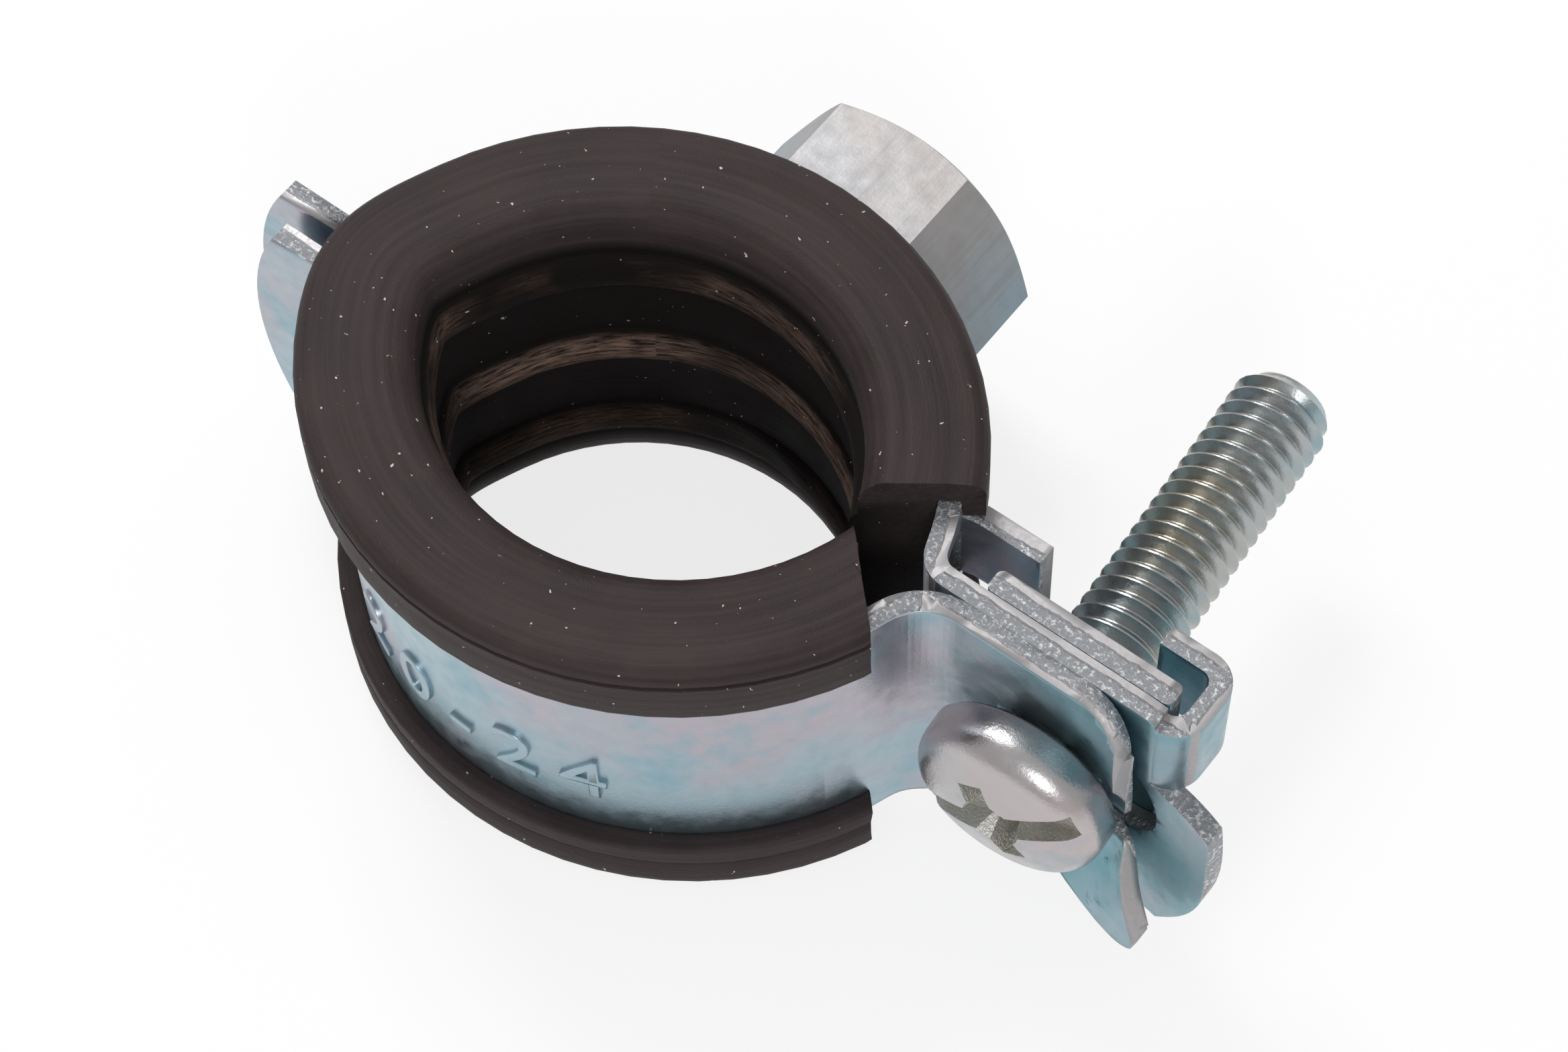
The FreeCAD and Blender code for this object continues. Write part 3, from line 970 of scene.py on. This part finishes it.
@dataclass
class SheetPiece:
    """A bent and cut sheet part that is taken from its solid and gets its sheared edges.

    Args:
        node: name of the solid.
        body: what it rides on.
        ring: the half ring it belongs to, or None for the loose plate.
        leaf_y: height of the hinge leaf's middle.
        ear_y: height of the closing ear's middle.
        torn_side: side of the sheet, by sign, where the cut is torn.
        dish_at: centre of the bowl round the screw, along X and Z.
        dish_depth: depth of the bowl.
        dish_radii: radius of its floor and of its rim.
        splay: how far the lower corner of the ear is bent out, along X and against Y.
        tab_lift: how far the tab is bent away from the plate, which leaves room for its rock.
        under_cut: how far the ear's lower edge beside the screw head lies above the band's.
    """

    node: str
    body: Body
    ring: HalfRing | None
    leaf_y: float
    ear_y: float
    torn_side: float
    dish_at: tuple[float, float] = (25.95, 0.0)
    dish_depth: float = 0.6
    dish_radii: tuple[float, float] = (4.0, 8.4)
    splay: tuple[float, float] = (0.0, 0.0)
    tab_lift: float = 0.0
    under_cut: float = 0.0

    def sheet_at(self, point: Vector) -> tuple[float, Vector]:
        """Distance from the middle of the sheet and the sheet's direction.

        Args:
            point: a place on the piece, in millimetres.

        Returns:
            The signed distance and the unit direction across the sheet.
        """
        ear = (point.y - self.ear_y, ALONG_Y)
        options = [ear] if point.x > EAR_FROM_X else []
        if self.ring is not None:
            if RING_SPAN_X[0] < point.x < RING_SPAN_X[1]:
                out = Vector((point.x - self.ring.x, point.y - self.ring.y, 0.0)).normalized()
                options.append((self.ring.beyond(point), out))
            if point.x < LEAF_TO_X:
                options.append((point.y - self.leaf_y, ALONG_Y))
            if self.ring is BACK_RING and point.x > GUIDES_FROM[0] and point.y > GUIDES_FROM[1]:
                options.append((point.y - GUIDE_Y, ALONG_Y))
                options.append((point.x - HOOK_X, ALONG_X))
        return min(options or [ear], key=lambda option: abs(option[0]))

    def bend_tab(self, spot: Vector) -> None:
        """Move a point of the tab away from the plate."""
        across = TAB_SPAN_X[0] < spot.x < TAB_SPAN_X[1] and TAB_SPAN_Z[0] < spot.z < TAB_SPAN_Z[1]
        if across and spot.y > TAB_FROM_Y:
            spot.y += self.tab_lift * TAB_ZONE.share(spot.x)

    def press(self, spot: Vector) -> None:
        """Move a point of the ear: raise its lower edge, bend its prong out and press the bowl."""
        low, high = self.dish_radii
        prong = PRONG_DOWN.share(-spot.z) * PRONG_OUT.share(spot.x)
        near_head = HEAD_SIDE_IN.share(spot.x) * HEAD_SIDE_OUT.share(-spot.x)
        spot.z += self.under_cut * LOWER_EDGE.share(-spot.z) * ease(near_head)
        spot.x += self.splay[0] * prong
        reach = math.hypot(spot.x - self.dish_at[0], spot.z - self.dish_at[1])
        spot.y += self.dish_depth * ease(Zone(-high, high - low).share(-reach))
        spot.y -= self.splay[1] * prong * CLEAR_OF_HEAD.share(reach)

    def dish(self, bm: BMesh) -> None:
        """Bend the tab and press the ear, on a grid that is fine enough for both."""
        for step in range(GRID_X[1]):
            self.slice(bm, Vector((GRID_X[0] + GRID_STEP * step, 0.0, 0.0)), ALONG_X)
        for step in range(GRID_Z[1]):
            self.slice(bm, Vector((0.0, 0.0, GRID_Z[0] + GRID_STEP * step)), ALONG_Z)
        for vert in bm.verts:
            self.bend_tab(vert.co)
            if vert.co.x >= PRESSED_FROM_X and vert.co.y <= self.ear_y + PRESSED_ABOVE:
                self.press(vert.co)

    def slice(self, bm: BMesh, spot: Vector, normal: Vector) -> None:
        """Add one grid line across the ear, on the plane through a spot."""
        faces = [face for face in bm.faces if max(v.co.x for v in face.verts) > PRESSED_FROM_X]
        verts = dict.fromkeys(vert for face in faces for vert in face.verts)
        edges = dict.fromkeys(edge for face in faces for edge in face.edges)
        bmesh.ops.bisect_plane(bm, geom=[*verts, *edges, *faces], dist=0.001,
                               plane_co=spot, plane_no=normal)

    def build(self, frame: dict, looks: Sequence[Material]) -> None:
        """Copy the solid, press the dish, find the sheared edges and dress the piece.

        Args:
            frame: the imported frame.
            looks: material of the faces and of the sheared edges.
        """
        bm = merged_copy(frame, self.node)
        bmesh.ops.dissolve_limit(bm, angle_limit=math.radians(FLAT_ANGLE), verts=bm.verts, edges=bm.edges)
        bmesh.ops.triangulate(bm, faces=bm.faces)
        self.dish(bm)
        across = bm.verts.layers.float.new("across")
        for vert in bm.verts:
            distance, _ = self.sheet_at(vert.co)
            vert[across] = min(1.0, max(0.0, 0.5 + self.torn_side * distance / SHEET))
        bm.normal_update()
        for face in bm.faces:
            _, direction = self.sheet_at(face.calc_center_median())
            face.material_index = int(abs(face.normal.dot(direction)) < EDGE_COSINE)
        clean(bm, CUT_GAP)
        obj = dressed(self.node + "_sheet", bm, looks, SHEET_SHARP, SHEET_ROUND)
        place(obj, self.body, "zinc_sheet", self.node)


@dataclass(frozen=True)
class Arm:
    """One slot of the recess, in millimetres and degrees; it tapers towards its floor."""

    length: float
    width: float
    depth: float
    turn: float
    taper: float


@dataclass
class ClosingScrew:
    """M6 pan-head screw with a crossed slot, turned about its own axis."""

    seat: Vector = Vector((25.94, -0.75, 0.0))
    tilt: float = 3.9
    length: float = 26.9
    crest_r: float = 2.94
    core_r: float = 2.42
    pitch: float = 1.0
    flank_share: float = 0.42
    crest_flat: float = 0.1
    lead: float = 2.0
    spare_turns: int = 3
    tip: tuple[float, float] = (0.9, 0.7)
    steps: int = 30
    head_r: float = 5.5
    head_side: float = 1.5
    head_round: float = 1.75
    head_h: float = 3.85
    head_steps: int = 72
    recess_turn: float = 31.0
    arms: tuple[Arm, ...] = (Arm(10.2, 1.9, 1.45, 0.0, 1.0), Arm(6.6, 1.8, 2.0, 90.0, 0.75))
    arm_narrowing: float = 0.75
    cone_radii: tuple[float, float] = (2.5, 0.9)
    cone_length: float = 4.4

    def matrix(self) -> Matrix:
        """From the screw's own axis along +Y to its place, in millimetres."""
        return Matrix.Translation(self.seat) @ Matrix.Rotation(math.radians(self.tilt), 4, "Z")

    def thread(self) -> BMesh:
        """Turn one groove of the thread along the whole shank.

        Returns:
            The closed shank in millimetres, on its own axis.
        """
        flank = self.pitch * self.flank_share
        profile = [(self.core_r, 0.0), (self.crest_r, flank), (self.crest_r, flank + self.crest_flat),
                   (self.core_r, 2 * flank + self.crest_flat), (self.core_r, self.pitch)]
        turns = int(self.length / self.pitch) + self.spare_turns
        outline = [(radius, height - self.lead) for radius, height in profile]
        bm = revolve(outline, self.steps, turns, self.pitch)
        bmesh.ops.remove_doubles(bm, verts=bm.verts, dist=SLIVER)
        for vert in bm.verts:
            reach = math.hypot(vert.co.x, vert.co.z)
            limit = self.crest_r - max(0.0, vert.co.y - (self.length - self.tip[0])) * self.tip[1]
            if reach > limit:
                vert.co.x *= limit / reach
                vert.co.z *= limit / reach
        for height, side in ((0.0, -1.0), (self.length, 1.0)):
            bmesh.ops.bisect_plane(bm, geom=bm.verts[:] + bm.edges[:] + bm.faces[:],
                                   plane_co=(0, height, 0), plane_no=(0, side, 0), clear_outer=True)
        close_ends(bm)
        return bm

    def recess(self) -> BMesh:
        """Tool for the recess: a long slot, a short deeper one across it and a cone in the middle.

        Returns:
            The tool in millimetres, on the screw's own axis.
        """
        bm = bmesh.new()
        top = Matrix.Translation((0, -self.head_h, 0))
        for arm in self.arms:
            made = bmesh.ops.create_cube(bm, size=1.0)["verts"]
            bmesh.ops.scale(bm, verts=made, vec=(arm.length, 2 * arm.depth, arm.width))
            for vert in made:
                if vert.co.y > 0:
                    vert.co.x *= arm.taper
                    vert.co.z *= self.arm_narrowing
            spin = Matrix.Rotation(math.radians(arm.turn - self.recess_turn), 4, "Y")
            bmesh.ops.transform(bm, matrix=top @ spin, verts=made)
        made = bmesh.ops.create_cone(bm, cap_ends=True, segments=28, radius1=self.cone_radii[0],
                                     radius2=self.cone_radii[1], depth=self.cone_length)["verts"]
        bmesh.ops.transform(bm, matrix=top @ Matrix.Rotation(math.radians(-90.0), 4, "X"), verts=made)
        return bm

    def head(self, looks: Sequence[Material]) -> BMesh:
        """Turn the pan head: straight side, round shoulder, slightly domed top.

        Args:
            looks: material of the head and of its recess.

        Returns:
            The carved head in millimetres, on its own axis.
        """
        side = self.head_r - self.head_round
        profile = [(0.0, 0.1), (self.head_r - 0.25, 0.0), (self.head_r, -0.3),
                   (self.head_r, -self.head_side)]
        for index in range(1, 7):
            turn = math.radians(12.5 * index)
            profile.append((side + self.head_round * math.cos(turn),
                            -self.head_side - self.head_round * math.sin(turn)))
        shoulder = -profile[-1][1]
        reach = profile[-1][0]
        for share in (0.75, 0.5, 0.25, 0.0):
            profile.append((reach * share, -shoulder - (self.head_h - shoulder) * (1 - share ** 2)))
        bm = revolve(profile, self.head_steps)
        bmesh.ops.remove_doubles(bm, verts=bm.verts, dist=0.003)
        bmesh.ops.recalc_face_normals(bm, faces=bm.faces)
        return carve(bm, self.recess(), looks)

    def build(self, head_looks: Sequence[Material], thread_look: Material) -> None:
        """Make head and thread, and set both on the screw's place.

        Args:
            head_looks: material of the head and of its recess.
            thread_look: material of the shank.
        """
        for name, bm, looks, sharp, width in (
                ("screw_head", self.head(head_looks), head_looks, 40.0, 0.14),
                ("screw_thread", self.thread(), [thread_look], 30.0, 0.0)):
            bmesh.ops.transform(bm, matrix=self.matrix(), verts=bm.verts)
            place(dressed(name, bm, looks, sharp, width), Body.SCREW, "zinc_screw", "screw")


@dataclass
class SizeMark:
    """Plain raised numerals on the front half: a made-up pipe range in millimetres."""

    text: str = "20-24"
    height: float = 4.0
    height_share: float = 0.72
    stand: float = 0.14
    edge: float = 0.11
    thinning: float = -0.06
    middle: float = -92.0
    drop: float = -2.6
    spacing: float = 1.45
    sharp: float = 50.0

    def build(self, material: Material) -> None:
        """Write the numerals, make them a mesh and bend them round the band.

        Args:
            material: the plating.
        """
        curve = bpy.data.curves.new("size_mark", "FONT")
        curve.body = self.text
        curve.size = self.height / self.height_share
        curve.space_character = self.spacing
        curve.align_x = "CENTER"
        curve.align_y = "CENTER"
        curve.extrude = self.stand
        curve.bevel_depth = self.edge
        curve.offset = self.thinning
        writing = bpy.data.objects.new("size_mark_text", curve)
        bpy.context.scene.collection.objects.link(writing)
        bpy.context.view_layer.update()
        graph = bpy.context.evaluated_depsgraph_get()
        bm = bmesh.new()
        bm.from_mesh(writing.evaluated_get(graph).to_mesh())
        bpy.data.objects.remove(writing)
        bmesh.ops.remove_doubles(bm, verts=bm.verts, dist=CUT_GAP)
        radius = FRONT_RING.mid_r + SHEET / 2
        for vert in bm.verts:
            turn = math.radians(self.middle) + vert.co.x / radius
            reach = radius + vert.co.z
            vert.co = Vector((FRONT_RING.x + reach * math.cos(turn), FRONT_RING.y + reach * math.sin(turn),
                              vert.co.y + self.drop))
        place(dressed("size_mark", bm, [material], self.sharp), Body.FRONT, "zinc_sheet")


@dataclass
class ConnectionNut:
    """Hexagonal nut for the threaded rod, with its threads."""

    core_r: float = 4.25
    root_r: float = 4.95
    bore_play: float = 0.03
    top: float = 24.0
    depth: float = 5.0
    pitch: float = 1.5
    ridge: tuple[float, float] = (0.62, 0.84)
    run_out: float = 1.2
    steps: int = 36

    def shell(self, frame: dict) -> BMesh:
        """Copy the solid and widen the mouth to the root of its thread.

        Args:
            frame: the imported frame.

        Returns:
            The nut's body in millimetres.
        """
        bm = merged_copy(frame, "connection_nut")
        for vert in bm.verts:
            reach = math.hypot(vert.co.x, vert.co.z)
            if abs(reach - self.core_r) < self.bore_play:
                vert.co.x *= self.root_r / reach
                vert.co.z *= self.root_r / reach
        return bm

    def thread(self) -> BMesh:
        """Turn the ridge of the inner thread.

        Returns:
            The closed ridge in millimetres.
        """
        root = self.root_r + 0.04
        crest = self.core_r + 0.02
        profile = [(root, 0.0), (crest, self.ridge[0]), (crest, self.ridge[1]), (root, self.pitch - 0.04)]
        outline = [(radius, self.top - self.depth + height) for radius, height in profile]
        turns = (self.depth - self.run_out - self.pitch) / self.pitch
        bm = revolve(outline, self.steps, turns, self.pitch, closed=True)
        close_ends(bm)
        return bm

    def build(self, frame: dict, look: Material) -> None:
        """Make the nut and its thread.

        Args:
            frame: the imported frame.
            look: the plating.
        """
        shell = dressed("nut_body", self.shell(frame), [look], 20.0, 0.42)
        place(shell, Body.BACK, "zinc_nut", "connection_nut")
        place(dressed("nut_thread", self.thread(), [look], 30.0), Body.BACK, "zinc_nut")


def camera_frame() -> tuple[Vector, Vector, Vector]:
    """Axes of the matched camera.

    Returns:
        The right, up and forward unit vectors.
    """
    azimuth, elevation, roll = (math.radians(v) for v in (CAM_AZIMUTH, CAM_ELEVATION, CAM_ROLL))
    forward = Vector((math.sin(azimuth) * math.cos(elevation),
                      math.cos(azimuth) * math.cos(elevation), -math.sin(elevation)))
    right = Vector((math.cos(azimuth), -math.sin(azimuth), 0.0))
    up = right.cross(forward)
    turned_right = right * math.cos(roll) + up * math.sin(roll)
    turned_up = up * math.cos(roll) - right * math.sin(roll)
    return turned_right, turned_up, forward


def make_camera() -> None:
    """Camera of the photo."""
    right, up, forward = camera_frame()
    data = bpy.data.cameras.new("camera")
    data.lens = CAM_LENS
    data.sensor_width = CAM_SENSOR
    data.sensor_fit = "HORIZONTAL"
    data.dof.use_dof = False
    data.clip_start, data.clip_end = CAM_CLIP
    camera = bpy.data.objects.new("camera", data)
    spot = (CAM_TARGET - forward * CAM_DISTANCE) * MM
    axes = Matrix((right, up, -forward)).transposed().to_4x4()
    camera.matrix_world = Matrix.Translation(spot) @ axes
    bpy.context.scene.collection.objects.link(camera)
    bpy.context.scene.camera = camera


def make_light(name: str, at: Vector, size: float, power: float) -> None:
    """Square soft light aimed at the clamp.

    Args:
        name: name of the light.
        at: its place, in millimetres.
        size: its side, in millimetres.
        power: its power in watts.
    """
    data = bpy.data.lights.new(name, "AREA")
    data.shape = "SQUARE"
    data.size = size * MM
    data.energy = power
    light = bpy.data.objects.new(name, data)
    aim = (LIGHT_AIM - at).normalized()
    light.matrix_world = Matrix.Translation(at * MM) @ aim.to_track_quat("-Z", "Y").to_matrix().to_4x4()
    bpy.context.scene.collection.objects.link(light)


def floor_surface() -> Material:
    """Pale floor that looks nearly white to the camera and keeps the shadow.

    Returns:
        The material.
    """
    material = bpy.data.materials.new("floor")
    material.use_nodes = True
    tree = material.node_tree
    bsdf = tree.nodes["Principled BSDF"]
    feed(tree, bsdf, {"Base Color": FLOOR_COLOUR, "Roughness": FLOOR_ROUGHNESS})
    path = tree.nodes.new("ShaderNodeLightPath")
    seen = compute(tree, Operation.MAXIMUM, path.outputs["Is Camera Ray"], path.outputs["Is Glossy Ray"])
    seen = compute(tree, Operation.MAXIMUM, seen, path.outputs["Is Transmission Ray"])
    weight = compute(tree, Operation.MULTIPLY, seen, FLOOR_GLOW)
    glow = tree.nodes.new("ShaderNodeEmission")
    mix = tree.nodes.new("ShaderNodeMixShader")
    feed(tree, mix, {0: weight, 1: bsdf.outputs[0], 2: glow.outputs[0]})
    tree.links.new(mix.outputs[0], tree.nodes["Material Output"].inputs[0])
    return material


def make_studio() -> None:
    """Pale floor, pale surroundings and soft lights."""
    bm = bmesh.new()
    bmesh.ops.create_grid(bm, x_segments=1, y_segments=1, size=FLOOR_SIZE)
    bmesh.ops.translate(bm, verts=bm.verts, vec=(0.0, 0.0, (FLOOR_Z - FLOOR_DROP) * MM))
    floor = new_object("floor", mesh_of("floor", bm), [floor_surface()])
    world = bpy.data.worlds.new("world")
    world.use_nodes = True
    feed(world.node_tree, world.node_tree.nodes["Background"], {0: SKY_COLOUR, 1: SKY_STRENGTH})
    bpy.context.scene.world = world
    make_light("key", Vector((-150.0, 90.0, 260.0)), 110.0, 0.50)
    make_light("fill", Vector((170.0, -160.0, 190.0)), 80.0, 0.24)
    bpy.context.scene.view_settings.view_transform = "Standard"


def main() -> None:
    """Load the frame and dress it."""
    logging.basicConfig(level=logging.INFO)
    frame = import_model()
    sheet = zinc("zinc_sheet", SHEET_FINISH, EAR_PAINTED_REFLECTION)
    edge = sheared("zinc_edge", EDGE_FINISH)
    Liner().build(rubber("rubber", RUBBER_FINISH))
    pieces = (
        SheetPiece("band_back", Body.BACK, BACK_RING, leaf_y=-3.05, ear_y=1.34, torn_side=-1.0,
                   tab_lift=0.35),
        SheetPiece("band_front", Body.FRONT, FRONT_RING, leaf_y=-0.65, ear_y=0.12, torn_side=1.0,
                   splay=(3.1, 1.5), under_cut=2.3),
        SheetPiece("nut_plate", Body.PLATE, None, leaf_y=0.0, ear_y=2.68, torn_side=-1.0),
    )
    for piece in pieces:
        piece.build(frame, [sheet, edge])
    ConnectionNut().build(frame, zinc("zinc_nut", NUT_FINISH, NUT_PAINTED_REFLECTION, brushed=True))
    # the recess carries painted highlights over its plating
    head_looks = [zinc("zinc_head", HEAD_FINISH), zinc("recess", RECESS_PLATING_AND_HIGHLIGHTS)]
    ClosingScrew().build(head_looks, zinc("zinc_screw", SCREW_FINISH))
    SizeMark().build(sheet)
    make_studio()
    make_camera()


if __name__ == "__main__":
    main()
